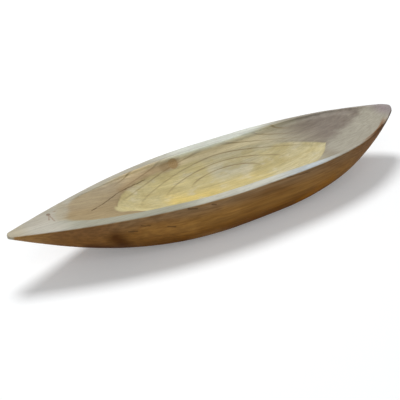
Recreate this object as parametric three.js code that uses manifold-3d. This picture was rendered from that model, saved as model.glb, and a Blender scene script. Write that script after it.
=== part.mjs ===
// A boat-shaped bowl, hollowed by hand out of one block of pale wood, with two knots in it.
// Millimetres, +Z up. The origin is under the middle of the bowl, on the flat foot.
// The long axis is X: the drawn-out point is at -X and the rounder nose at +X.
import * as THREE from 'three';
import { LoftGeometry } from 'three/addons/geometries/LoftGeometry.js';
import { mergeVertices } from 'three/addons/utils/BufferGeometryUtils.js';
import Module from 'manifold-3d';

// Overall sizes
const LENGTH = 600; // tip to tip
const BREADTH = 144; // across the rim at its widest
const HEIGHT = 68; // foot to rim amidships
const NOSE_SHEER = 9.5; // how much higher the rim is at the nose
const FOOT_CUT = 1.5; // planed off the keel to make the flat foot
const EDGE_ROUND = 2.4; // eased edges of the rim

// The blunt tips
const POINT_BREADTH = 11;
const NOSE_BREADTH = 12; // before the nose is rounded off
const NOSE_ROUND = 9; // how far back the nose is rounded
const NOSE_FLAT = 2; // left across the rounded nose, at its very tip
const TIP_DEPTH = 5;

// The hollow
const WALL = 14.5; // rim thickness amidships, and on the -Y side to the point
const POINT_WALL = 5; // rim thickness on the +Y side, where the hollow starts at the point
const NOSE_WALL = 3; // rim thickness where the two sides meet at the nose
const DECK = 60; // solid wood between the point's tip and the hollow
const NOSE_LAND = 9; // solid wood between the nose's tip and the hollow
const WALL_DEPTH = 22; // how far the side walls go down amidships
const FLOOR_DEPTH = 38; // rim to the lowest part of the dished floor
const FLOOR_POINT_END = 137; // from the point's tip to the floor's end
const FLOOR_NOSE_END = 120; // from the nose's tip to the floor's other end
const FLOOR_INSET = 5; // from the hollow's edge to the floor's, in plan

// The knots, each a stub of a branch that the trunk grew round
const KNOT_GAP = 0.3; // dark line round a knot, where its bark was
const WALL_KNOT_STATION = 251.5; // from the point's tip
const WALL_KNOT_DROP = 9; // rim to the knot's centre
const WALL_KNOT_INNER = 10.5; // diameter inside the bowl
const WALL_KNOT_OUTER = 13; // diameter outside, where the branch was thicker
const WALL_KNOT_REACH = 20; // how far the branch runs in past the rim's inner edge
const DECK_KNOT_STATION = 56; // from the point's tip
const DECK_KNOT_OFFSET = 15; // from the centre line, towards +Y
const DECK_KNOT_DIAMETER = 5;
const DECK_KNOT_DEPTH = 12;

// How full each curve is. A taper is 1 amidships and 0 at the end: a greater fullness keeps it
// near 1 for longer, and a roundness above 1 makes its end blunter.
const POINT_PLAN = { fullness: 1.91, roundness: 0.96 };
const NOSE_PLAN = { fullness: 3.27, roundness: 1.06 };
const POINT_KEEL = { fullness: 2.8, roundness: 0.95 };
const NOSE_KEEL = { fullness: 3.78, roundness: 0.6 };
const POINT_RAMP = { fullness: 1.6, roundness: 1 };
const NOSE_RAMP = { fullness: 3.6, roundness: 1 };
const HOLLOW_ENDS = { fullness: 14, roundness: 2 };
const POINT_FLOOR = { fullness: 7, roundness: 1.1 };
const NOSE_FLOOR = { fullness: 3.2, roundness: 1.1 };
const NOSE_THINNING = { fullness: 2, roundness: 0.3 };
const FLOOR_RAMP = { fullness: 4, roundness: 1 };
const FLOOR_DISH = { fullness: 2, roundness: 0.83 };
const SHEER_CURVE = 4.5; // the rim stays level amidships and sweeps up near the nose

// A section across the bowl, from a round bilge amidships to a V at the hull's ends and a shallow
// dip at the hollow's.
const HULL_MIDSHIP = { fullness: 3.5, roundness: 3.5 };
const HULL_END = { fullness: 1.2, roundness: 1.2 };
const HOLLOW_MIDSHIP = { fullness: 2.2, roundness: 2.2 };
const HOLLOW_END = { fullness: 1.8, roundness: 1 };

// Fineness of the surfaces
const HULL_STATIONS = 44;
const HOLLOW_STATIONS = 36;
const FLOOR_STATIONS = 28;
const HULL_STEPS = 30;
const HOLLOW_STEPS = 28;
const FLOOR_STEPS = 18;
const ROUND_STEPS = 3;
const KNOT_SIDES = 20;

const POINT_X = -LENGTH / 2;
const NOSE_X = LENGTH / 2;
const OVERCUT = 10; // how far a cutting solid reaches past the wood
const END_INSET = 1; // a hollow's first section, from where its outline would close

const wasm = await Module();
wasm.setup();

const taper = (t, { fullness, roundness }) => (1 - Math.min(t, 1) ** fullness) ** (1 / roundness);
const share = (from, to, t) => from + (to - from) * t;

// Distance of x from amidships, as a share of the way to the end on its side.
const along = (x, pointEnd, noseEnd) => (x < 0 ? x / pointEnd : x / noseEnd);

// Outside of the hull
const rimHeight = (x) => HEIGHT + NOSE_SHEER * Math.max(x / NOSE_X, 0) ** SHEER_CURVE;

function halfBreadth(x) {
  const tip = (x < 0 ? POINT_BREADTH : NOSE_BREADTH) / 2;
  const plan = share(tip, BREADTH / 2, taper(along(x, POINT_X, NOSE_X), x < 0 ? POINT_PLAN : NOSE_PLAN));
  const rounded = Math.max(x - NOSE_X + NOSE_ROUND, 0) / NOSE_ROUND;
  return share(NOSE_FLAT / 2, plan, Math.sqrt(1 - rounded ** 2));
}

function keelDepth(x) {
  const keel = taper(along(x, POINT_X, NOSE_X), x < 0 ? POINT_KEEL : NOSE_KEEL);
  return share(TIP_DEPTH, HEIGHT + FOOT_CUT, keel);
}

// Inside: gouged side walls that flatten into a ramp at each end, with a dished floor sunk between them
const HOLLOW_POINT_X = POINT_X + DECK;
const HOLLOW_NOSE_X = NOSE_X - NOSE_LAND;

function rimThickness(x, side) {
  if (x >= 0) return share(NOSE_WALL, WALL, taper(x / HOLLOW_NOSE_X, NOSE_THINNING));
  return share(WALL, side > 0 ? POINT_WALL : WALL, x / HOLLOW_POINT_X);
}

function hollowBreadth(x, side) {
  const ends = taper(along(x, HOLLOW_POINT_X, HOLLOW_NOSE_X), HOLLOW_ENDS);
  return (halfBreadth(x) - rimThickness(x, side)) * ends;
}

function hollowDepth(x) {
  return WALL_DEPTH * taper(along(x, HOLLOW_POINT_X, HOLLOW_NOSE_X), x < 0 ? POINT_RAMP : NOSE_RAMP);
}

const hollowRound = (x) => Math.min(EDGE_ROUND, hollowDepth(x) / 2);

// How far the gouged wall is under the rim, from 0 out at the centre line to 1 at the hollow's edge
function wallDrop(x, out) {
  const curve = bilge(along(x, HOLLOW_POINT_X, HOLLOW_NOSE_X), HOLLOW_MIDSHIP, HOLLOW_END);
  return share(hollowRound(x), hollowDepth(x), taper(out, curve));
}

const FLOOR_POINT_X = POINT_X + FLOOR_POINT_END;
const FLOOR_NOSE_X = NOSE_X - FLOOR_NOSE_END;

function floorBreadth(x, side) {
  const plan = taper(along(x, FLOOR_POINT_X, FLOOR_NOSE_X), x < 0 ? POINT_FLOOR : NOSE_FLOOR);
  return (halfBreadth(x) - rimThickness(x, side) - FLOOR_INSET) * plan;
}

function floorDrop(x, out, side) {
  const dish = (FLOOR_DEPTH - WALL_DEPTH) * taper(along(x, FLOOR_POINT_X, FLOOR_NOSE_X), FLOOR_RAMP);
  const outInHollow = (out * floorBreadth(x, side)) / hollowBreadth(x, side);
  return wallDrop(x, outInHollow) + dish * taper(out, FLOOR_DISH);
}

// One section at x from the -Y side to the +Y side: how far out each side goes, and how far under the rim.
function section(x, breadthOn, dropAt, steps) {
  const points = [];
  for (let i = 0; i <= steps; i++) {
    const out = Math.sin(Math.PI * (i / steps - 0.5));
    const drop = dropAt(Math.abs(out), out);
    points.push(new THREE.Vector3(x, breadthOn(out) * out, rimHeight(x) - drop));
  }
  return points;
}

// Points of an eased rim edge on the +Y side, from `half` at its side face up to the rim.
function easedEdge(x, half, radius, turn) {
  const points = [];
  for (let i = 1; i <= ROUND_STEPS; i++) {
    const angle = ((i / ROUND_STEPS) * Math.PI) / 2;
    const y = half + turn * radius * (1 - Math.cos(angle));
    points.push(new THREE.Vector3(x, y, rimHeight(x) - radius * (1 - Math.sin(angle))));
  }
  return points;
}

// A ring closed over the top: the edge mirrored to the -Y side, the section, then the edge on the +Y side.
function ring(lower, edgeOn) {
  const mirrored = edgeOn(-1).map((p) => new THREE.Vector3(p.x, -p.y, p.z)).reverse();
  return [...mirrored, ...lower, ...edgeOn(1)];
}

// Stations from one end to the other, closer together near the ends.
function stations(from, to, count) {
  const middle = (from + to) / 2;
  const reach = (to - from) / 2;
  return Array.from({ length: count + 1 }, (_, i) => middle - reach * Math.cos((Math.PI * i) / count));
}

// How full a section is, at a share of the way from amidships to an end.
function bilge(t, midship, end) {
  return {
    fullness: share(midship.fullness, end.fullness, t ** 2),
    roundness: share(midship.roundness, end.roundness, t ** 2),
  };
}

function hullRing(x) {
  const half = halfBreadth(x);
  const depth = keelDepth(x);
  const radius = Math.min(EDGE_ROUND, half / 2, depth / 2);
  const curve = bilge(along(x, POINT_X, NOSE_X), HULL_MIDSHIP, HULL_END);
  const lower = section(x, () => half, (out) => share(radius, depth, taper(out, curve)), HULL_STEPS);
  return ring(lower, () => easedEdge(x, half, radius, -1));
}

function hollowRing(x) {
  const lower = section(x, (side) => hollowBreadth(x, side), (out) => wallDrop(x, out), HOLLOW_STEPS);
  return ring(lower, (side) => {
    const half = hollowBreadth(x, side);
    const above = new THREE.Vector3(x, half + hollowRound(x), rimHeight(x) + OVERCUT);
    return [...easedEdge(x, half, hollowRound(x), 1), above];
  });
}

function floorRing(x) {
  const lower = section(
    x,
    (side) => floorBreadth(x, side),
    (out, side) => floorDrop(x, out, side),
    FLOOR_STEPS,
  );
  return ring(lower, (side) => [new THREE.Vector3(x, floorBreadth(x, side), rimHeight(x) + OVERCUT)]);
}

// A closed geometry as a solid for joining and cutting.
function solid(geometry) {
  const bare = new THREE.BufferGeometry();
  bare.setAttribute('position', geometry.attributes.position);
  bare.setIndex(geometry.index);
  const merged = mergeVertices(bare);
  const triVerts = new Uint32Array(merged.index.array);
  const vertProperties = merged.attributes.position.array;
  return new wasm.Manifold(new wasm.Mesh({ numProp: 3, vertProperties, triVerts }));
}

function geometryOf(manifold) {
  const { vertProperties, triVerts } = manifold.getMesh();
  const geometry = new THREE.BufferGeometry();
  geometry.setAttribute('position', new THREE.BufferAttribute(vertProperties, 3));
  geometry.setIndex(new THREE.BufferAttribute(triVerts, 1));
  geometry.computeVertexNormals();
  return geometry;
}

const loft = (xs, ringAt) => solid(new LoftGeometry(xs.map(ringAt), { capStart: true, capEnd: true }));

// The block is shaped outside, planed flat under the keel, and hollowed from above.
function carvedBlock() {
  const hull = loft(stations(POINT_X, NOSE_X, HULL_STATIONS), hullRing);
  const shavings = new THREE.BoxGeometry(LENGTH, BREADTH, OVERCUT).translate(0, 0, -OVERCUT / 2);
  const hollow = loft(
    stations(HOLLOW_POINT_X + END_INSET, HOLLOW_NOSE_X - END_INSET, HOLLOW_STATIONS),
    hollowRing,
  );
  const floor = loft(
    stations(FLOOR_POINT_X + END_INSET, FLOOR_NOSE_X - END_INSET, FLOOR_STATIONS),
    floorRing,
  );
  return hull.subtract(solid(shavings)).subtract(hollow).subtract(floor);
}

// The wall's knot runs from the hollow out through the +Y side, wider as it goes.
function wallKnotStub(gap) {
  const x = POINT_X + WALL_KNOT_STATION;
  const inside = hollowBreadth(x, 1);
  const outside = halfBreadth(x);
  const widening = (WALL_KNOT_OUTER - WALL_KNOT_INNER) / 2 / (outside - inside);
  const outerRadius = WALL_KNOT_OUTER / 2 + gap + widening * OVERCUT;
  const innerRadius = WALL_KNOT_INNER / 2 + gap - widening * WALL_KNOT_REACH;
  const reach = outside - inside + WALL_KNOT_REACH + OVERCUT;
  const stub = new THREE.CylinderGeometry(outerRadius, innerRadius, reach, KNOT_SIDES);
  return solid(stub.translate(x, outside + OVERCUT - reach / 2, rimHeight(x) - WALL_KNOT_DROP));
}

// The deck's knot stands upright in the solid wood beside the hollow's pointed end.
function deckKnotStub(gap) {
  const x = POINT_X + DECK_KNOT_STATION;
  const radius = DECK_KNOT_DIAMETER / 2 + gap;
  const reach = DECK_KNOT_DEPTH + gap + OVERCUT;
  const stub = new THREE.CylinderGeometry(radius, radius, reach, KNOT_SIDES).rotateX(Math.PI / 2);
  const top = rimHeight(x) + OVERCUT;
  return solid(stub.translate(x, DECK_KNOT_OFFSET, top - reach / 2));
}

const block = carvedBlock();
const bowlWood = new THREE.MeshStandardMaterial({ color: 0xb59a6c, roughness: 0.62, metalness: 0 });
const knotWood = new THREE.MeshStandardMaterial({ color: 0x6f4a28, roughness: 0.55, metalness: 0 });

function piece(name, manifold, material) {
  const mesh = new THREE.Mesh(geometryOf(manifold), material);
  mesh.name = name;
  return mesh;
}

const bowl = new THREE.Group();
bowl.add(
  piece('bowl_body', block.subtract(wallKnotStub(KNOT_GAP)).subtract(deckKnotStub(KNOT_GAP)), bowlWood),
  piece('wall_knot', block.intersect(wallKnotStub(0)), knotWood),
  piece('deck_knot', block.intersect(deckKnotStub(0)), knotWood),
);

export default bowl;
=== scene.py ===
import math

import bmesh
import bpy
import numpy as np
from mathutils import Matrix, Vector, kdtree, noise


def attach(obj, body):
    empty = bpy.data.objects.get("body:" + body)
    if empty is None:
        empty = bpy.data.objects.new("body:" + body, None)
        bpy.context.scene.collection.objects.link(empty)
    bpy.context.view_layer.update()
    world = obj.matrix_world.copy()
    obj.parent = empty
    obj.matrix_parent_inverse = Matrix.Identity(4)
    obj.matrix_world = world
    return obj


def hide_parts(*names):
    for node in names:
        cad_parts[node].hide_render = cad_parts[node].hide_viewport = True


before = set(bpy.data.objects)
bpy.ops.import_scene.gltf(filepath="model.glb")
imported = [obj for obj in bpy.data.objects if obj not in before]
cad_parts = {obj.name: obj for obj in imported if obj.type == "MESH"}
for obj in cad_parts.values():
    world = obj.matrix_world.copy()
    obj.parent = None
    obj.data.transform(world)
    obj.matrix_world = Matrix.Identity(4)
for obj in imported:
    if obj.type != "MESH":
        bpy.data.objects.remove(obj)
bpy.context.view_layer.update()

# The block, outside: one piece of pale wood, hewn to a boat with a pointed end and a rounder nose that rises,
# then planed flat under the keel. It is modelled as one skin of rings, laid from the keel up the hull, over
# the rim and down to the floor. Sizes are in millimetres, and x runs from the point to the nose.
HALF_LENGTH = 300
HALF_BREADTH = 72
RIM_HEIGHT = 68
NOSE_RISE = 9.5
KEEL_DEPTH = 69.5
END_DEPTH = 5
KEEL_TO_POINT = (2.8, 0.95)
KEEL_TO_NOSE = (3.78, 0.6)
MIDSHIP_BILGE = 3.5
END_BILGE = 1.2
EASE = 2.4
AROUND = 480
HULL_RINGS = 64

turn = np.linspace(0, 1, AROUND + 1)
side = np.where(turn <= 0.5, 1, -1)
station = -np.sin((1 - np.abs(4 * turn - 2)) * math.pi / 2)
rings = []


def lay_ring(x, y, z, outside=0.0, rim=0.0, floor=0.0, drop=0.0):
    """Lays the next ring of the skin: its points, the zones they are in and their drop under the rim."""
    rings.append(np.broadcast_arrays(x, y, z, outside, rim, floor, drop))


def taper(share, fullness, roundness):
    """A breadth or depth that falls from 1 amidships to 0 at an end."""
    return np.clip(1 - np.clip(share, 0, 1) ** fullness, 0, 1) ** (1 / roundness)


def taper_reach(value, fullness, roundness):
    """How far towards an end a taper falls to a value."""
    return (1 - value**roundness) ** (1 / fullness)


def superellipse(share, power):
    return np.clip(1 - np.clip(np.abs(share), 0, 1) ** power, 0, 1) ** (1 / power)


def rim_height(x):
    return RIM_HEIGHT + NOSE_RISE * np.clip(x / HALF_LENGTH, 0, 1) ** 4.5


def half_breadth(x):
    tip = np.where(x < 0, 5.5, 6.0)
    plan = np.where(x < 0, taper(-x / HALF_LENGTH, 1.91, 0.96), taper(x / HALF_LENGTH, 3.27, 1.06))
    blunt = np.where(x < 0, 3.0, 9.0)
    rounding = np.sqrt(1 - np.clip((np.abs(x) - HALF_LENGTH + blunt) / blunt, 0, 1) ** 2)
    return (tip + (HALF_BREADTH - tip) * plan) * rounding


def keel_depth(x):
    to_end = np.where(x < 0, taper(-x / HALF_LENGTH, *KEEL_TO_POINT), taper(x / HALF_LENGTH, *KEEL_TO_NOSE))
    return END_DEPTH + (KEEL_DEPTH - END_DEPTH) * to_end


def spaced(out, down, values, count):
    """Values at even steps along a section that goes out and down."""
    travel = np.concatenate([[0], np.cumsum(np.hypot(np.diff(out), np.diff(down)))])
    return np.interp(np.linspace(0, travel[-1], count), travel, values)


section = np.linspace(1, 0, 4000)
hull_down = EASE + (KEEL_DEPTH - EASE) * superellipse(section, MIDSHIP_BILGE)
for level in spaced(HALF_BREADTH * section, hull_down, hull_down, HULL_RINGS)[::-1]:
    rise = np.clip((level - END_DEPTH) / (KEEL_DEPTH - END_DEPTH), 0, 1)
    reach = np.where(station < 0, taper_reach(rise, *KEEL_TO_POINT), taper_reach(rise, *KEEL_TO_NOSE))
    x = HALF_LENGTH * station * reach
    depth = np.maximum(keel_depth(x), level)
    bilge = MIDSHIP_BILGE + (END_BILGE - MIDSHIP_BILGE) * (np.abs(x) / HALF_LENGTH) ** 2
    y = half_breadth(x) * superellipse((level - EASE) / np.maximum(depth - EASE, 1e-6), bilge)
    lay_ring(x, side * y, np.maximum(rim_height(x) - level, 0), outside=1.0)

# The outer edge is eased along the plan's normals. Near the nose the hull's brown runs over it in front.
outer_x = HALF_LENGTH * station
outer_y = side * half_breadth(outer_x)
ahead_x = np.roll(outer_x[:-1], -1) - np.roll(outer_x[:-1], 1)
ahead_y = np.roll(outer_y[:-1], -1) - np.roll(outer_y[:-1], 1)
ahead = np.hypot(ahead_x, ahead_y)
facing_x = np.append(ahead_y / ahead, ahead_y[0] / ahead[0])
facing_y = np.append(-ahead_x / ahead, -ahead_x[0] / ahead[0])
hull_brown = np.where(side < 0, np.interp(outer_x, (195, 225, 250, 262), (0, 1, 1, 0)), 0)
for degrees in (30, 60, 90):
    inset = EASE * (1 - math.cos(math.radians(degrees)))
    edge_x = outer_x - facing_x * inset
    edge_y = outer_y - facing_y * inset
    z = rim_height(outer_x) - EASE * (1 - math.sin(math.radians(degrees)))
    brown = np.maximum(hull_brown, float(degrees < 45))
    lay_ring(edge_x, edge_y, z, outside=brown, rim=1 - brown)

# The block, inside: hollowed with a gouge and scraped. Its walls thin to the nose and, at the back, to the
# point, and run out in ramps at both ends. A dished floor is sunk between them, and the inner edge is eased.
HOLLOW_TO_POINT = 240
HOLLOW_TO_NOSE = 291
FLOOR_TO_POINT = 163
FLOOR_TO_NOSE = 180
RAMP_DEPTH = 22
DISH_DEPTH = 16
WALL = 14.5
WALL_AT_POINT = 5.0
WALL_AT_NOSE = 3
LEDGE = 5
FLOOR_FADE = 6
RIM_RINGS = 11
HOLLOW_RINGS = 55


def inner_breadth(x, side):
    at_point = np.where(side > 0, WALL_AT_POINT, WALL)
    point_wall = WALL + (at_point - WALL) * np.clip(-x / HOLLOW_TO_POINT, 0, 1)
    nose_wall = WALL_AT_NOSE + (WALL - WALL_AT_NOSE) * taper(x / HOLLOW_TO_NOSE, 2, 0.3)
    return half_breadth(x) - np.where(x < 0, point_wall, nose_wall)


def hollow_share(x):
    """How far a place is from amidships to the hollow's end."""
    return np.clip(np.abs(x) / np.where(x < 0, HOLLOW_TO_POINT, HOLLOW_TO_NOSE), 0, 1)


def hollow_breadth(x, side):
    return np.maximum(inner_breadth(x, side), 0) * taper(hollow_share(x), 14, 2)


def ramp_depth(x):
    return RAMP_DEPTH * np.where(x < 0, taper(hollow_share(x), 1.6, 1), taper(hollow_share(x), 3.6, 1))


def lip(x):
    """The depth of the rim's eased inner edge, which fades out where the hollow runs up to its ends."""
    return np.minimum(EASE, ramp_depth(x) / 2) * (1 - 0.9 * hollow_share(x) ** 2)


def floor_place(x, y):
    """How far across the dished floor a point is, from 0 to 1 at its edge, and the floor's half breadth."""
    reach = np.abs(x) / np.where(x < 0, FLOOR_TO_POINT, FLOOR_TO_NOSE)
    plan = np.where(x < 0, taper(reach, 7, 1.1), taper(reach, 3.2, 1.1))
    half = np.maximum((inner_breadth(x, y) - LEDGE) * plan, 1e-6)
    return np.clip(np.abs(y) / half, 0, 1), half


def hollow_depth(x, y):
    """How far the ramped hollow, with the dished floor sunk in it, lies under the rim."""
    along = hollow_share(x)
    across = np.abs(y) / np.maximum(hollow_breadth(x, y), 1e-6)
    wall = taper(across, 2.2 - 0.4 * along**2, 2.2 - 1.2 * along**2)
    to_end = taper(np.abs(x) / np.where(x < 0, FLOOR_TO_POINT, FLOOR_TO_NOSE), 4, 1)
    dish = to_end * taper(floor_place(x, y)[0], 2, 0.83)
    return lip(x) + (ramp_depth(x) - lip(x)) * wall + DISH_DEPTH * dish


inner_x = station * np.where(station < 0, HOLLOW_TO_POINT, HOLLOW_TO_NOSE)
inner_y = hollow_breadth(inner_x, side)
inner_ease = lip(inner_x)
flat = half_breadth(inner_x) - inner_y - 1.1 * EASE
lip_width = np.clip(np.minimum(0.5 * inner_y, flat), 0, EASE)
for share in np.linspace(0, 1, RIM_RINGS + 1)[1:]:
    x = edge_x + (inner_x - edge_x) * share
    y = edge_y + (side * (inner_y + lip_width) - edge_y) * share
    brown = hull_brown * float(share < 0.8)
    lay_ring(x, y, rim_height(x), outside=brown, rim=1 - brown)
for share in (0.3, 0.65, 1.0):
    y = inner_y + lip_width * (1 - share)
    drop = inner_ease * share**2
    lay_ring(inner_x, side * y, rim_height(inner_x) - drop, rim=float(share < 0.5), drop=drop)

inner_half = HALF_BREADTH - WALL
hollow_down = hollow_depth(np.zeros_like(section), inner_half * section)
for share in spaced(inner_half * section, hollow_down, section, HOLLOW_RINGS + 1)[1:]:
    x = inner_x * (0.7 + 0.3 * share)
    y = side * inner_y * share
    drop = np.maximum(hollow_depth(x, y), inner_ease)
    across, half = floor_place(x, y)
    lay_ring(x, y, rim_height(x) - drop, floor=np.clip((1 - across) * half / FLOOR_FADE, 0, 1), drop=drop)

# The skin itself: a grid wrapped onto the rings and closed, with the slight waves that hand tools leave.
# From here on sizes are in metres, except where marks are drawn.
ZONES = ("outside", "rim", "floor", "drop")
CLOSED = 1e-5
WAVE = 0.0005
RIPPLE = 0.00016

block_mesh = bpy.data.meshes.new("block")
shape = bmesh.new()
bmesh.ops.create_grid(shape, x_segments=AROUND, y_segments=len(rings) - 1, size=1)
layers = [shape.verts.layers.float.new(zone) for zone in ZONES]
for vert in shape.verts:
    column = round((vert.co.x + 1) / 2 * AROUND)
    ring = rings[round((vert.co.y + 1) / 2 * (len(rings) - 1))]
    x, y, z, outside, rim, floor, drop = [row[column] for row in ring]
    for layer, value in zip(layers, (outside, rim, floor, drop / 1000)):
        vert[layer] = value
    vert.co = Vector((x, y, z)) / 1000
bmesh.ops.remove_doubles(shape, verts=shape.verts, dist=CLOSED)
bmesh.ops.dissolve_degenerate(shape, edges=shape.edges, dist=1e-6)
bmesh.ops.recalc_face_normals(shape, faces=shape.faces)
shape.normal_update()
carved = []
for vert in shape.verts:
    place = Vector((vert.co.x * 14, vert.co.y * 22, vert.co.z * 22))
    wave = WAVE * noise.noise(place) + RIPPLE * noise.noise(place * 3.7)
    carved.append(vert.normal * wave * min(1, vert.co.z / 0.004))
for vert, move in zip(shape.verts, carved):
    vert.co += move
for face in shape.faces:
    face.smooth = True
shape.to_mesh(block_mesh)
shape.free()
bowl = bpy.data.objects.new("bowl", block_mesh)
bpy.context.scene.collection.objects.link(bowl)


def add(kind, inputs=(), **settings):
    """A node in the tree being built, with its settings and its inputs, each a value or another's socket."""
    made = tree.nodes.new("ShaderNode" + kind)
    for name, value in settings.items():
        setattr(made, name, value)
    for name, value in dict(inputs).items():
        if isinstance(value, bpy.types.NodeSocket):
            tree.links.new(value, made.inputs[name])
        else:
            made.inputs[name].default_value = value
    return made


def maths(operation, *values):
    return add("Math", dict(enumerate(values)), operation=operation).outputs[0]


def times(value, *others):
    """The product of some values."""
    for other in others:
        value = maths("MULTIPLY", value, other)
    return value


def vector(operation, *values):
    return add("VectorMath", dict(enumerate(values)), operation=operation).outputs["Vector"]


def measure(operation, *values):
    """A length, distance or dot product of vectors."""
    return add("VectorMath", dict(enumerate(values)), operation=operation).outputs["Value"]


def span(value, low, high, start=0.0, end=1.0):
    """A value that goes smoothly from start to end while the input goes from low to high."""
    ends = {"Value": value, "From Min": low, "From Max": high, "To Min": start, "To Max": end}
    return add("MapRange", ends, interpolation_type="SMOOTHSTEP").outputs[0]


def cloud(stretch, detail, output="Fac"):
    """Noise of a given fineness along X, Y and Z, per metre."""
    scaled = vector("MULTIPLY", place, stretch)
    inputs = {"Vector": scaled, "Scale": 1.0, "Detail": detail, "Roughness": 0.55}
    return add("TexNoise", inputs).outputs[output]


def mixed(share, first, second, how="MIX"):
    """Two colours mixed by a share."""
    first, second = [(*tone, 1) if isinstance(tone, tuple) else tone for tone in (first, second)]
    return add("Mix", {0: share, 6: first, 7: second}, data_type="RGBA", blend_type=how).outputs[2]


def layered(colour, *layers):
    """A colour with further tones laid over it, each by its share."""
    for share, tone in layers:
        colour = mixed(share, colour, tone)
    return colour


def open_group(name, inputs, output):
    """A new node group with named inputs and one output, and the sockets for both inside it."""
    group = bpy.data.node_groups.new(name, "ShaderNodeTree")
    for label, kind in inputs.items():
        group.interface.new_socket(label, in_out="INPUT", socket_type="NodeSocket" + kind)
    group.interface.new_socket(output, in_out="OUTPUT", socket_type="NodeSocketFloat")
    return group, group.nodes.new("NodeGroupInput").outputs, group.nodes.new("NodeGroupOutput").inputs[output]


def open_material(name):
    made = bpy.data.materials.new(name)
    made.use_nodes = True
    made.node_tree.nodes.clear()
    return made


# Growth rings, which the block and its knots both show: each ring darkens to its late wood, then ends.
ring_inputs = {"Distance": "Float", "Spacing": "Float", "Start": "Float", "Full": "Float", "Fade": "Float"}
growth_rings, given, result = open_group("growth_rings", ring_inputs, "Late")
tree = growth_rings
share = maths("FRACT", maths("DIVIDE", given["Distance"], given["Spacing"]))
late = times(span(share, given["Start"], given["Full"]), span(share, 1.0, given["Fade"]))
tree.links.new(late, result)


def ring_lines(distance, spacing, start, full, fade):
    """The late wood of rings at a spacing, which starts, is full and fades at given shares of a ring."""
    values = {"Distance": distance, "Spacing": spacing, "Start": start, "Full": full, "Fade": fade}
    return add("Group", values, node_tree=growth_rings).outputs[0]


# A mark on the wood, such as a check, crack or stain: it lies along a line and has a soft edge.
mark_inputs = {"Position": "Vector", "From": "Vector", "To": "Vector", "Width": "Float", "Core": "Float"}
surface_mark, given, result = open_group("surface_mark", mark_inputs, "Mask")
tree = surface_mark
offset = vector("SUBTRACT", given["Position"], given["From"])
line = vector("SUBTRACT", given["To"], given["From"])
lengths = {0: measure("DOT_PRODUCT", offset, line), 1: measure("DOT_PRODUCT", line, line)}
along = add("Math", lengths, operation="DIVIDE", use_clamp=True).outputs[0]
away = measure("DISTANCE", offset, vector("MULTIPLY", line, along))
tree.links.new(span(away, given["Width"], times(given["Width"], given["Core"])), result)

wood = open_material("bowl_wood")
tree = wood.node_tree
place = add("TexCoord").outputs["Object"]
x, y, z = add("SeparateXYZ", {0: place}).outputs
outside, rim, floor, drop = [add("Attribute", attribute_name=zone).outputs["Fac"] for zone in ZONES]
inside = maths("SUBTRACT", 1.0, outside)
at_back = span(y, -0.01, 0.01)

# The figure: rings round a pith that lies under the bowl, cut by the gouge to long ovals on the floor, with
# fibres and open pores along the length. Noise of several sizes mottles the wood and lets its marks wander.
PITH = (0, 0.004, -0.10)
YEAR = 0.0056
OVAL_CENTRE = (0.0188, 0.024)
OVAL_SAG = 0.908
OVAL_STRETCH = 5.39
OVAL_START = 0.0031
OVAL_YEAR = 0.008
MIDDLE = (0.5, 0.5, 0.5)

bend = vector("SUBTRACT", cloud((5, 16, 16), 2.0, "Color"), MIDDLE)
bend = vector("MULTIPLY", bend, (0, 0.016, 0.012))
from_pith = vector("SUBTRACT", vector("ADD", place, bend), PITH)
radius = measure("LENGTH", vector("MULTIPLY", from_pith, (0, 1, 1)))
radius = maths("MULTIPLY_ADD", x, 0.02, radius)
year = maths("FLOOR", maths("DIVIDE", radius, YEAR))
chance = add("TexWhiteNoise", {"W": year}, noise_dimensions="1D").outputs["Value"]
broken = cloud((8, 20, 20), 2.0)
late = ring_lines(radius, YEAR, 0.7, 0.92, 0.95)
late = times(late, span(chance, 0.2, 0.9, 0.1, 1.0), span(broken, 0.4, 0.6, 0.2, 1.0))

slight = vector("ADD", place, vector("MULTIPLY", bend, (0.15, 0.15, 0.15)))
bent = add("SeparateXYZ", {0: slight}).outputs
ahead = maths("SUBTRACT", bent["X"], OVAL_CENTRE[0])
beside = maths("SUBTRACT", bent["Y"], OVAL_CENTRE[1])
beside = maths("ADD", beside, times(ahead, ahead, OVAL_SAG))
oval = add("CombineXYZ", {0: maths("DIVIDE", ahead, OVAL_STRETCH), 1: beside}).outputs[0]
oval = measure("LENGTH", oval)
rising = maths("DIVIDE", beside, oval)
ovals = ring_lines(maths("SUBTRACT", oval, OVAL_START), OVAL_YEAR, 0.78, 0.9, 0.93)
ovals = times(ovals, span(broken, 0.35, 0.6, 0.6, 1.0), span(oval, 0.004, 0.007))
ovals = times(ovals, span(rising, 0.0, 0.7, 0.22, 1.0))

fibre = cloud((16, 420, 420), 3.0)
pores = span(cloud((110, 1500, 1500), 2.0), 0.58, 0.72)
mottle = cloud((12, 30, 30), 4.0)
patch = cloud((9, 30, 30), 3.0)
blotch = cloud((30, 70, 70), 3.0)
mottled = maths("SUBTRACT", mottle, 0.5)
wander = vector("SUBTRACT", cloud((60, 140, 140), 2.0, "Color"), MIDDLE)
loose = vector("ADD", place, vector("MULTIPLY", wander, (0.004, 0.004, 0.004)))
PLAN = (1, 1, 0)
SIDE = (1, 0, 1)


def marks(plane, *lines):
    """A mask of marks. Each line gives x and y in plan, or x and z from the side, of both its ends, then its
    width, all in millimetres, and the share of the width that is full."""
    seen = vector("MULTIPLY", loose, plane)
    total = 0.0
    for from_x, from_other, to_x, to_other, width, core in lines:
        start = Vector((from_x, from_other * plane[1], from_other * plane[2])) / 1000
        end = Vector((to_x, to_other * plane[1], to_other * plane[2])) / 1000
        inputs = {"Position": seen, "From": start, "To": end, "Width": width / 1000, "Core": core}
        total = maths("MAXIMUM", total, add("Group", inputs, node_tree=surface_mark).outputs[0])
    return total


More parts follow.
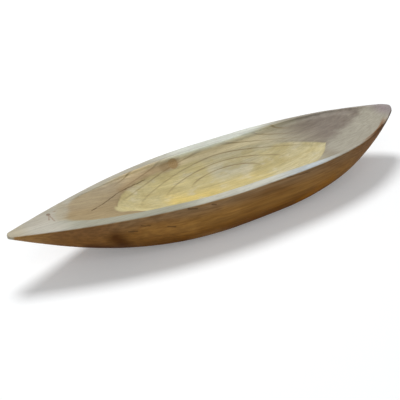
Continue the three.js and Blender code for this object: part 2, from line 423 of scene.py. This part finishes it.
# The gouged walls: grey-brown at the ramp, paler amidships and smoky to the nose, where the end slopes up in
# a brushed grey, with painted light on the shaded upper back wall. The floor is freshly cut yellow wood,
# golden towards the front and greyer in its ovals.
FRONT_BROWN = (0.335, 0.25, 0.135)
BACK_BROWN = (0.39, 0.32, 0.215)
SCRAPED_TAN = (0.40, 0.32, 0.19)
RAMP_BROWN = (0.31, 0.235, 0.13)
STRAW = (0.62, 0.55, 0.355)
OLIVE_GREY = (0.37, 0.335, 0.25)
SMOKE_GREY = (0.245, 0.21, 0.175)
SMOKE = (0.16, 0.125, 0.10)
PAINTED_LIGHT_TAN = (0.57, 0.455, 0.28)
PAINTED_LIGHT_STRAW = (0.64, 0.555, 0.35)
SLOPE_GREY = (0.31, 0.285, 0.23)
SLOPE_PALE = (0.44, 0.415, 0.34)
NOSE_PURPLE = (0.29, 0.245, 0.245)
low = times(span(drop, 0.005, 0.011), 0.7)
# Painted light: the steep upper back wall, in shade under the rim, is lightened by this mask to tan and
# straw.
high = times(span(drop, 0.022, 0.008), at_back, span(x, -0.15, -0.11), span(x, 0.08, 0.03))
smoky = times(span(cloud((13, 60, 60), 3.0), 0.45, 0.62), span(x, 0.12, 0.18), 0.4)
slope_side = maths("SUBTRACT", maths("MULTIPLY_ADD", x, 0.27, -0.049), y)
brushed = maths("SUBTRACT", cloud((45, 90, 90), 3.0), 0.5)
slope_side = maths("MULTIPLY_ADD", brushed, 0.035, slope_side)
slope = times(span(slope_side, -0.010, 0.010), span(x, 0.15, 0.175))
wall = layered(
    mixed(span(y, 0.0, 0.03), FRONT_BROWN, BACK_BROWN),
    (span(mottle, 0.3, 0.65, 0.0, 0.6), SCRAPED_TAN),
    (low, RAMP_BROWN),
    (span(x, -0.12, -0.02), STRAW),
    (span(x, 0.07, 0.15), OLIVE_GREY),
    (span(x, 0.13, 0.20), SMOKE_GREY),
    (high, mixed(span(x, -0.08, -0.02), PAINTED_LIGHT_TAN, PAINTED_LIGHT_STRAW)),
    (smoky, SMOKE),
    (slope, mixed(mottle, SLOPE_GREY, SLOPE_PALE)),
    (span(x, 0.268, 0.289), NOSE_PURPLE))

FRESH_YELLOW = (0.55, 0.48, 0.26)
GOLD = (0.66, 0.52, 0.19)
PALE_GOLD = (0.585, 0.48, 0.215)
NOSE_YELLOW = (0.55, 0.485, 0.285)
OVAL_GREY = (0.52, 0.49, 0.37)
DULL_YELLOW = (0.50, 0.46, 0.32)
AMBER = (0.46, 0.39, 0.195)
PALE_YELLOW = (0.61, 0.53, 0.275)
BLOTCH_AMBER = (0.46, 0.375, 0.17)
BLOTCH_PALE = (0.62, 0.57, 0.42)
RING_BROWN = (0.24, 0.17, 0.085)
floor_wood = layered(
    FRESH_YELLOW,
    (marks(PLAN, (-76, 4, -18, -2, 24, 0.0)), GOLD),
    (times(marks(PLAN, (0, 4, 65, 6, 24, 0.0)), 0.8), PALE_GOLD),
    (span(x, 0.07, 0.12), NOSE_YELLOW),
    (times(marks(PLAN, (10, 30, 70, 28, 20, 0.1)), 0.8), OVAL_GREY),
    (times(marks(PLAN, (0, 52, 125, 42, 13, 0.1)), 0.8), DULL_YELLOW),
    (times(marks(PLAN, (70, 18, 104, 15, 20, 0.1)), 0.85), AMBER),
    (marks(PLAN, (-85, 32, -45, 34, 12, 0.1), (-148, -8, -105, -14, 15, 0.2)), PALE_YELLOW),
    (span(blotch, 0.5, 0.66, 0.0, 0.45), BLOTCH_AMBER),
    (span(blotch, 0.48, 0.34, 0.0, 0.5), BLOTCH_PALE))
fresh = span(maths("MULTIPLY_ADD", mottled, 1.2, floor), 0.2, 0.8)
fresh = maths("MAXIMUM", fresh, marks(PLAN, (-158, -6, -134, -16, 11, 0.5)))
lines = times(ovals, span(x, 0.17, 0.13), span(x, -0.16, -0.12), 0.7)
lines = maths("MAXIMUM", lines, times(late, 0.12))
colour = layered(wall, (fresh, floor_wood), (lines, RING_BROWN))

# The rim and deck: planed flat and weathered grey, with a painted highlight of the sky on the rim amidships,
# tan at the tip and where it is handled, and worn over the inner edge amidships and by the deck. Just under
# the rim the back wall is brightened with painted light.
TIP_TAN = (0.47, 0.42, 0.315)
DECK_FRONT = (0.50, 0.475, 0.405)
DECK_BACK = (0.455, 0.425, 0.355)
# The pale tones amidships, bluish on the front rim, are partly weathered grey and partly a painted highlight
# of the sky on the flat rim.
FRONT_TONES_AND_SKY_SHEEN = (
    (-0.255, -0.215, (0.36, 0.355, 0.28)), (-0.12, -0.04, (0.57, 0.57, 0.50)),
    (0.02, 0.08, (0.50, 0.55, 0.57)), (0.095, 0.15, (0.41, 0.385, 0.32)))
BACK_TONES_AND_SKY_SHEEN = (
    (-0.25, -0.2, (0.45, 0.42, 0.34)), (-0.10, -0.02, (0.66, 0.68, 0.61)), (0.09, 0.16, (0.36, 0.33, 0.275)))
RIM_PURPLE = (0.31, 0.27, 0.265)
RIM_OLIVE = (0.36, 0.33, 0.25)
RIM_RING = (0.30, 0.27, 0.20)
HANDLED_TAN = (0.40, 0.35, 0.25)
PAINTED_LIGHT_EDGE = (1.53, 1.6, 1.65)
deck = mixed(span(x, -0.292, -0.268), TIP_TAN, mixed(span(y, -0.004, 0.006), DECK_FRONT, DECK_BACK))
front = layered(deck, *[(span(x, start, end), tone) for start, end, tone in FRONT_TONES_AND_SKY_SHEEN])
behind = layered(deck, *[(span(x, start, end), tone) for start, end, tone in BACK_TONES_AND_SKY_SHEEN])
# The shaved rim colour, which carries the painted sky highlight as well as the weathering and wear.
shaved_with_sheen = layered(
    mixed(at_back, front, behind),
    (span(x, 0.265, 0.29), RIM_PURPLE),
    (span(mottle, 0.55, 0.3, 0.0, 0.4), RIM_OLIVE),
    (times(late, 0.25), RIM_RING),
    (times(marks(PLAN, (-223, 24, -235, 1, 10, 0.2)), 0.75), HANDLED_TAN))
worn = maths("MULTIPLY_ADD", mottled, 0.006, drop)
amidships = times(span(worn, 0.009, 0.001), span(x, -0.12, -0.02), span(x, 0.13, 0.08))
at_deck = times(span(worn, 0.0022, 0.0001), span(x, -0.1, -0.19))
worn_over = times(maths("MAXIMUM", amidships, at_deck), inside)
colour = mixed(maths("MAXIMUM", rim, worn_over), colour, shaved_with_sheen)
# Painted light: the back wall just under the rim is brightened, standing in for light on its steep top, which
# lies in shade.
edge = maths("SUBTRACT", worn, span(x, -0.18, -0.08, 0.0035, 0.007))
edge = times(span(edge, 0.0, -0.0025), maths("SUBTRACT", inside, rim), at_back)
edge = times(edge, span(x, -0.20, -0.15), span(x, 0.258, 0.232), span(x, -0.05, 0.02, 1.0, 0.75))
colour = mixed(edge, colour, PAINTED_LIGHT_EDGE, "MULTIPLY")

# The hull: oiled brown with long dark and bright patches, a redder nose and a paler foot where it is planed,
# and painted shade that darkens it under the turn of the bilge. At the nose its brown runs over the front
# rim.
SHADED_LOW_BROWN = (0.15, 0.052, 0.001)
MIDDLE_BROWN = (0.297, 0.146, 0.033)
UPPER_BROWN = (0.27, 0.165, 0.078)
DARK_PATCH = (0.17, 0.07, 0.013)
LIGHT_PATCH = (0.37, 0.19, 0.05)
POINT_BROWN = (0.19, 0.083, 0.022)
POINT_TAN = (0.30, 0.16, 0.052)
DIM_BROWN = (0.185, 0.09, 0.034)
NOSE_RED = (0.235, 0.085, 0.02)
NOSE_EDGE = (0.10, 0.05, 0.022)
BRIGHT_TAN = (0.38, 0.19, 0.048)
BRIGHT_ORANGE = (0.30, 0.122, 0.008)
HULL_RING = (0.16, 0.065, 0.014)
OIL = (0.96, 0.90, 0.55)
FOOT_TAN = (0.36, 0.215, 0.085)
TIP_GREY = (0.46, 0.42, 0.33)
SPILT_BROWN = (0.25, 0.15, 0.085)
bright_left = marks(SIDE, (-150, 48, -95, 38, 17, 0.0), (-51, 50, -33, 45, 8, 0.0))
hull = layered(
    # Painted shade: the lower hull, turning under towards the keel, is darker in its colour.
    mixed(span(z, 0.012, 0.045), SHADED_LOW_BROWN, MIDDLE_BROWN),
    (span(z, 0.044, 0.066), UPPER_BROWN),
    (span(patch, 0.5, 0.7, 0.0, 0.65), DARK_PATCH),
    (span(patch, 0.46, 0.28, 0.0, 0.5), LIGHT_PATCH),
    (span(x, -0.16, -0.21, 0.0, 0.75), POINT_BROWN),
    (span(x, -0.245, -0.275), POINT_TAN),
    (span(x, 0.03, 0.25, 0.0, 0.5), DIM_BROWN),
    (span(x, 0.19, 0.25, 0.0, 0.7), NOSE_RED),
    (times(span(z, 0.0645, 0.0685), span(x, 0.19, 0.25)), NOSE_EDGE),
    (times(bright_left, 0.6), BRIGHT_TAN),
    (times(marks(SIDE, (75, 20, 130, 34, 13, 0.0)), 0.8), BRIGHT_ORANGE),
    (times(late, 0.45), HULL_RING))
hull = mixed(times(span(z, 0.034, 0.014), span(x, -0.08, 0.0)), hull, OIL, "MULTIPLY")
hull = layered(
    hull,
    (times(span(z, 0.0012, 0.0004), span(mottle, 0.25, 0.6, 0.35, 0.8)), FOOT_TAN),
    (span(x, -0.2935, -0.2975), TIP_GREY))
spill = times(span(drop, 0.0035, 0.001), span(y, -0.005, -0.02), inside)
spill = times(spill, span(x, 0.185, 0.21), span(x, 0.275, 0.25))
colour = layered(colour, (outside, hull), (spill, SPILT_BROWN))

# Weathering, stains and cracks: streaks and pores along the fibres, brown wood along the branch that ends in
# the wall's knot, a damp stain on the hull, a long drying crack between the ramp and the floor, and short
# checks under the front rim and beside the deck's knot.
PORE_BROWN = (0.16, 0.10, 0.05)
BRANCH_BROWN = (0.24, 0.145, 0.06)
HALO_BROWN = (0.27, 0.175, 0.08)
DAMP_BROWN = (0.07, 0.021, 0.001)
CHECK_BROWN = (0.26, 0.15, 0.10)
CRACK_BROWN = (0.07, 0.035, 0.014)
weathering = span(outside, 0.0, 1.0, 0.10, 0.17)
streak = maths("MULTIPLY_ADD", span(fibre, 0.3, 0.7, -1.0, 1.0), weathering, 1.0)
streak = add("CombineColor", {0: streak, 1: streak, 2: streak}).outputs[0]
colour = mixed(1.0, colour, streak, "MULTIPLY")
branch = marks(
    PLAN, (-140, 31, -112, 42.5, 8, 0.1), (-112, 42.5, -86, 49, 8, 0.1), (-86, 49, -60, 53, 8, 0.2),
    (-60, 54, -42, 56, 9, 0.3))
under_rim = times(span(drop, 0.002, 0.0065), inside)
in_front = times(outside, span(y, 0.0, -0.01))
damp = marks(SIDE, (-188, 47, -176, 30, 16, 0.0), (-214, 34, -168, 20, 12, 0.0))
beside_knot = marks(
    PLAN, (-244, 12, -248, 4, 1.3, 0.2), (-243, 11, -243.5, -1.5, 1.3, 0.2), (-236, 18, -234, 18.5, 1.6, 0.2))
long_crack = marks(
    PLAN, (-194, 3, -174, 13, 0.9, 0.3), (-174, 13, -149, 26, 1.1, 0.3), (-149, 26, -115, 38.5, 0.9, 0.1),
    (-115, 38.5, -98, 42.6, 0.7, 0.1))
checks = marks(
    SIDE, (-173, 52, -163, 50, 1.2, 0.4), (-159, 57.5, -148, 55, 1.2, 0.4), (-126, 48, -117, 45.5, 1.2, 0.4),
    (-100, 66, -89, 63.5, 1.3, 0.4), (-69, 63.8, -63.5, 62.2, 1.3, 0.4), (43, 67, 83, 63, 0.8, 0.2))
cracks = maths("MAXIMUM", times(long_crack, inside), times(checks, in_front))
colour = layered(
    colour,
    (times(pores, span(outside, 0.0, 1.0, 0.3, 0.15)), PORE_BROWN),
    (times(branch, under_rim, 0.36), BRANCH_BROWN),
    (times(marks(PLAN, (-64, 52, -47, 54, 9, 0.2)), under_rim, 0.42), HALO_BROWN),
    (times(damp, in_front, 0.9), DAMP_BROWN),
    (times(beside_knot, inside, 0.55), CHECK_BROWN),
    (times(cracks, 0.58), CRACK_BROWN))

relief = maths("MULTIPLY_ADD", late, -0.5, fibre)
relief = maths("MULTIPLY_ADD", pores, -0.4, relief)
relief = maths("MULTIPLY_ADD", cracks, -2.0, relief)
grain = add("Bump", {"Strength": 0.35, "Distance": 0.0006, "Height": relief}).outputs[0]
surface = add("BsdfPrincipled", {
    "Base Color": colour, "Roughness": span(mottle, 0.3, 0.7, 0.55, 0.72), "Normal": grain,
    "Specular IOR Level": 0.07})
tree.links.new(surface.outputs[0], add("OutputMaterial").inputs["Surface"])
block_mesh.materials.append(wood)
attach(bowl, "root")
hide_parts("bowl_body")

# The two knots: stubs of branches that the trunk grew round, darker and harder than the wood about them, with
# rings of their own. Each stands in a socket in the block, scraped flush with the back wall or the deck.
WALL_KNOT = Vector((-0.0485, 0.0615, 0.059))
DECK_KNOT = Vector((-0.244, 0.015, 0.068))
WALL_KNOT_STRETCH = 1.35
SOCKET_GAP = 0.00004
KNOT_RING = 0.0016
KNOT_PALE = (0.40, 0.28, 0.135)
KNOT_DARK = (0.32, 0.21, 0.095)
KNOT_EDGE = (0.37, 0.265, 0.135)
KNOT_WORN = (0.52, 0.42, 0.27)
OUTER_PALE = (0.19, 0.08, 0.02)
OUTER_DARK = (0.11, 0.042, 0.01)
DECK_KNOT_BROWN = (0.23, 0.17, 0.12)

knot_wood = open_material("knot_wood")
tree = knot_wood.node_tree
place = add("TexCoord").outputs["Object"]
x, y, z = add("SeparateXYZ", {0: place}).outputs
stubble = cloud((300, 300, 300), 3.0)
radius = measure("LENGTH", vector("MULTIPLY", vector("SUBTRACT", place, WALL_KNOT), (0.74, 0, 1)))
rough_radius = maths("MULTIPLY_ADD", stubble, 0.8 * KNOT_RING, radius)
late = ring_lines(rough_radius, KNOT_RING, 0.3, 0.9, 0.999)
colour = layered(
    mixed(late, KNOT_PALE, KNOT_DARK),
    (span(radius, 0.0036, 0.0056), KNOT_EDGE),
    (span(z, 0.0605, 0.0645, 0.0, 0.7), KNOT_WORN),
    (span(y, 0.06, 0.066), mixed(late, OUTER_PALE, OUTER_DARK)),
    (span(x, -0.1, -0.2), DECK_KNOT_BROWN))
grain = add("Bump", {"Strength": 0.3, "Distance": 0.0004, "Height": stubble}).outputs[0]
surface = add("BsdfPrincipled", {
    "Base Color": colour, "Roughness": span(stubble, 0.3, 0.7, 0.5, 0.65), "Normal": grain,
    "Specular IOR Level": 0.25})
tree.links.new(surface.outputs[0], add("OutputMaterial").inputs["Surface"])

uncut = kdtree.KDTree(len(block_mesh.vertices))
for vert in block_mesh.vertices:
    uncut.insert(vert.co, vert.index)
uncut.balance()


def branch_stub(lie, inner_radius, outer_radius, length, gap):
    """The stub of a branch as a cone that lies in the block, wider all round by a gap."""
    shape = bmesh.new()
    bmesh.ops.create_cone(
        shape, cap_ends=True, segments=40, radius1=inner_radius + gap, radius2=outer_radius + gap,
        depth=length, matrix=lie)
    for face in shape.faces:
        face.smooth = len(face.verts) == 4
    stub = bpy.data.objects.new("branch_stub", bpy.data.meshes.new("branch_stub"))
    shape.to_mesh(stub.data)
    shape.free()
    return stub


def cut(piece, stub, operation):
    """Takes the stub out of the piece, or keeps only what is inside the stub, with the block's zones."""
    bpy.context.scene.collection.objects.link(stub)
    knife = piece.modifiers.new("knife", "BOOLEAN")
    knife.operation = operation
    knife.object = stub
    knife.solver = "EXACT"
    bpy.context.view_layer.update()
    made = bpy.data.meshes.new_from_object(piece.evaluated_get(bpy.context.evaluated_depsgraph_get()))
    piece.modifiers.clear()
    nearest = [uncut.find(vert.co)[1] for vert in made.vertices]
    for zone in ZONES:
        known = block_mesh.attributes[zone].data
        made.attributes[zone].data.foreach_set("value", [known[index].value for index in nearest])
    shape = bmesh.new()
    shape.from_mesh(made)
    many_sided = [face for face in shape.faces if len(face.verts) > 4]
    bmesh.ops.triangulate(shape, faces=many_sided, ngon_method="BEAUTY")
    shape.to_mesh(made)
    shape.free()
    made.set_sharp_from_angle(angle=math.radians(60))
    piece.data = made
    bpy.data.objects.remove(stub)


across_wall = Matrix.Diagonal((WALL_KNOT_STRETCH, 1, 1, 1)) @ Matrix.Rotation(-math.pi / 2, 4, "X")
upright = Matrix.Rotation(0.07, 4, "Z")
for name, node, *form in (
    ("wall_knot_stub", "wall_knot", Matrix.Translation(WALL_KNOT) @ across_wall, 0.005, 0.0068, 0.05),
    ("deck_knot_stub", "deck_knot", Matrix.Translation(DECK_KNOT) @ upright, 0.0025, 0.0025, 0.024),
):
    knot = bpy.data.objects.new(name, block_mesh.copy())
    bpy.context.scene.collection.objects.link(knot)
    cut(knot, branch_stub(*form, 0.0), "INTERSECT")
    cut(bowl, branch_stub(*form, SOCKET_GAP), "DIFFERENCE")
    knot.data.materials.clear()
    knot.data.materials.append(knot_wood)
    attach(knot, "root")
    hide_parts(node)

# The studio: a floor of white paper, one large soft lamp above and behind the bowl, a weak fill in front and
# an even sky. To the camera and in gloss, paper and sky show brighter than the light they throw on the bowl.
PAPER = (0.845, 0.86, 0.87, 1)
WHITE = (1, 1, 1, 1)
SKY_LIGHT = 0.27


def shown():
    """1 for rays that show the background itself, and 0 for rays that light the bowl."""
    paths = add("LightPath").outputs
    direct = maths("MAXIMUM", paths["Is Camera Ray"], paths["Is Glossy Ray"])
    return maths("MAXIMUM", direct, paths["Is Transmission Ray"])


paper = open_material("white_paper")
tree = paper.node_tree
away = measure("LENGTH", add("TexCoord").outputs["Object"])
brightness = times(shown(), span(away, 0.6, 2.0, 0.2, 1.0))
glow = add("Emission", {"Color": WHITE, "Strength": brightness}).outputs[0]
matte = add("BsdfDiffuse", {"Color": PAPER}).outputs[0]
both = add("AddShader", {0: matte, 1: glow}).outputs[0]
tree.links.new(both, add("OutputMaterial").inputs["Surface"])
floor_mesh = bpy.data.meshes.new("studio_floor")
shape = bmesh.new()
bmesh.ops.create_grid(shape, x_segments=1, y_segments=1, size=6)
shape.to_mesh(floor_mesh)
shape.free()
floor_mesh.materials.append(paper)
studio_floor = bpy.data.objects.new("studio_floor", floor_mesh)
bpy.context.scene.collection.objects.link(studio_floor)

for name, spot, size, power in (
    ("overhead_softbox", Vector((-0.02, 0.88, 2.45)), 1.0, 46),
    ("front_fill", Vector((-0.9, -1.5, 1.7)), 1.8, 10),
):
    lamp = bpy.data.objects.new(name, bpy.data.lights.new(name, "AREA"))
    lamp.data.shape = "DISK"
    lamp.data.size = size
    lamp.data.energy = power
    lamp.location = spot
    lamp.rotation_mode = "QUATERNION"
    lamp.rotation_quaternion = spot.to_track_quat("Z", "Y")
    bpy.context.scene.collection.objects.link(lamp)

sky = bpy.data.worlds.new("studio_sky")
sky.use_nodes = True
tree = sky.node_tree
tree.nodes.clear()
strength = maths("MULTIPLY_ADD", shown(), 1 - SKY_LIGHT, SKY_LIGHT)
air = add("Background", {"Color": WHITE, "Strength": strength}).outputs[0]
tree.links.new(air, add("OutputWorld").inputs["Surface"])
bpy.context.scene.world = sky

# The camera: where the photo was taken from, in front of the bowl, towards its point and above its rim.
# Its lens and distance were fitted to the outline in the photo.
AIM = Vector((-0.07919, -0.0568, 0.068))
DISTANCE = 0.90014
turned = math.radians(-34.01)
raised = math.radians(31.17)
back = Vector((math.sin(turned) * math.cos(raised), -math.cos(turned) * math.cos(raised), math.sin(raised)))
camera = bpy.data.objects.new("camera", bpy.data.cameras.new("camera"))
camera.data.lens = 67.44
camera.data.sensor_width = 36
camera.location = AIM + back * DISTANCE
camera.rotation_mode = "QUATERNION"
camera.rotation_quaternion = (-back).to_track_quat("-Z", "Y")
bpy.context.scene.collection.objects.link(camera)
bpy.context.scene.camera = camera
bpy.context.scene.view_settings.view_transform = "Standard"
